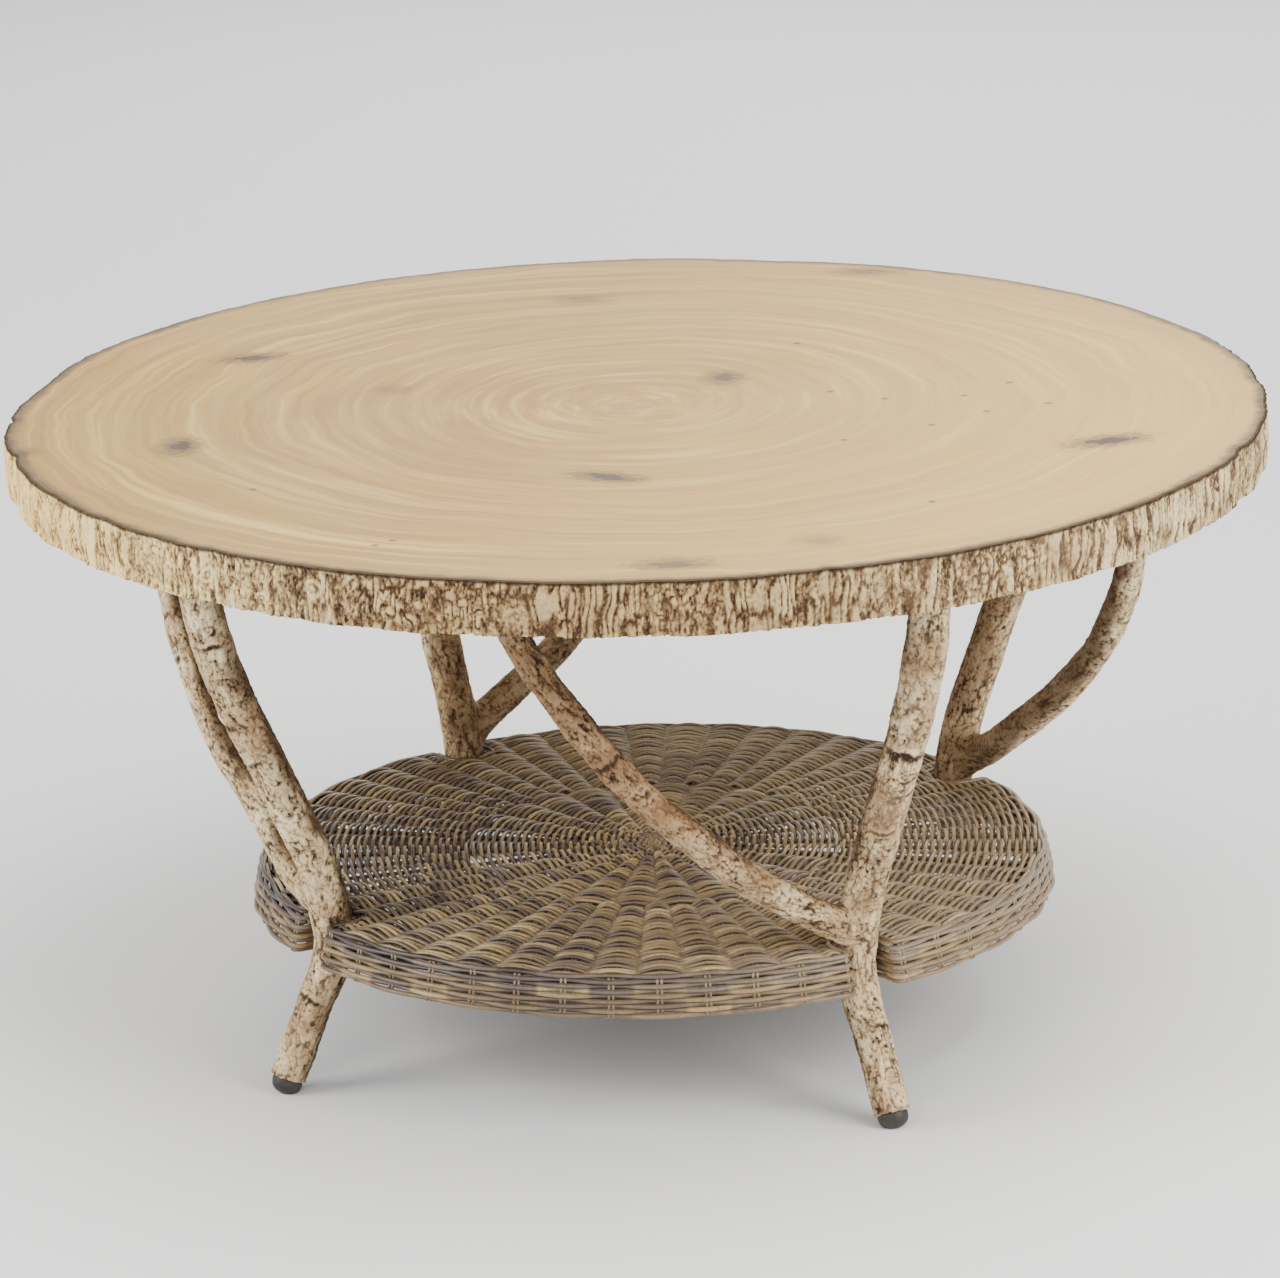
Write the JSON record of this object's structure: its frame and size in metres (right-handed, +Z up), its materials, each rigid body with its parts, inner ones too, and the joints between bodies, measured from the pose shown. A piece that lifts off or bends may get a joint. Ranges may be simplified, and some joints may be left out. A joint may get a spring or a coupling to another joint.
{
  "type": "round garden coffee table",
  "caption": "Round garden coffee table: faux-wood top with a bark rim, forked branch legs and a round woven wicker shelf low between them.",
  "frame": {"origin": "on the floor, under the middle of the round top", "axes": "+Z up; -Y is the front, and the four feet stand on the diagonals"},
  "size_m": [1.0648, 1.0644, 0.539],
  "materials": {
    "face_wood": "moulded faux wood with growth rings, cracks and knots, satin",
    "bark": "moulded bark relief, cream ridges over umber",
    "branch_bark": "hand-painted birch bark on a casting",
    "wicker": "mixed brown, honey and grey resin strands",
    "frame_metal": "brown powder coat",
    "screw_metal": "stainless",
    "glide_plastic": "moulded dark grey"
  },
  "bodies": {
    "root": {"top_panel": "face_wood", "bark_rim": "bark", "support_ring": "frame_metal", "leg_stem_front_right": "branch_bark", "leg_branch_front_right": "branch_bark", "stem_plate_front_right": "frame_metal", "branch_plate_front_right": "frame_metal", "glide_front_right": "glide_plastic", "leg_bracket_front_right": "frame_metal", "stem_plate_screw_front_right": "screw_metal", "branch_plate_screw_front_right": "screw_metal", "bracket_bolt_front_right": "screw_metal", "leg_stem_back_right": "branch_bark", "leg_branch_back_right": "branch_bark", "stem_plate_back_right": "frame_metal", "branch_plate_back_right": "frame_metal", "glide_back_right": "glide_plastic", "leg_bracket_back_right": "frame_metal", "stem_plate_screw_back_right": "screw_metal", "branch_plate_screw_back_right": "screw_metal", "bracket_bolt_back_right": "screw_metal", "leg_stem_back_left": "branch_bark", "leg_branch_back_left": "branch_bark", "stem_plate_back_left": "frame_metal", "branch_plate_back_left": "frame_metal", "glide_back_left": "glide_plastic", "leg_bracket_back_left": "frame_metal", "stem_plate_screw_back_left": "screw_metal", "branch_plate_screw_back_left": "screw_metal", "bracket_bolt_back_left": "screw_metal", "leg_stem_front_left": "branch_bark", "leg_branch_front_left": "branch_bark", "stem_plate_front_left": "frame_metal", "branch_plate_front_left": "frame_metal", "glide_front_left": "glide_plastic", "leg_bracket_front_left": "frame_metal", "stem_plate_screw_front_left": "screw_metal", "branch_plate_screw_front_left": "screw_metal", "bracket_bolt_front_left": "screw_metal", "shelf_weave": "wicker", "shelf_band_weave": "wicker", "shelf_upper_hoop": "frame_metal", "shelf_lower_hoop": "frame_metal", "shelf_hub": "frame_metal", "shelf_rib_right": "frame_metal", "shelf_rib_back": "frame_metal", "shelf_rib_left": "frame_metal", "shelf_rib_front": "frame_metal"}
  },
  "joints": []
}
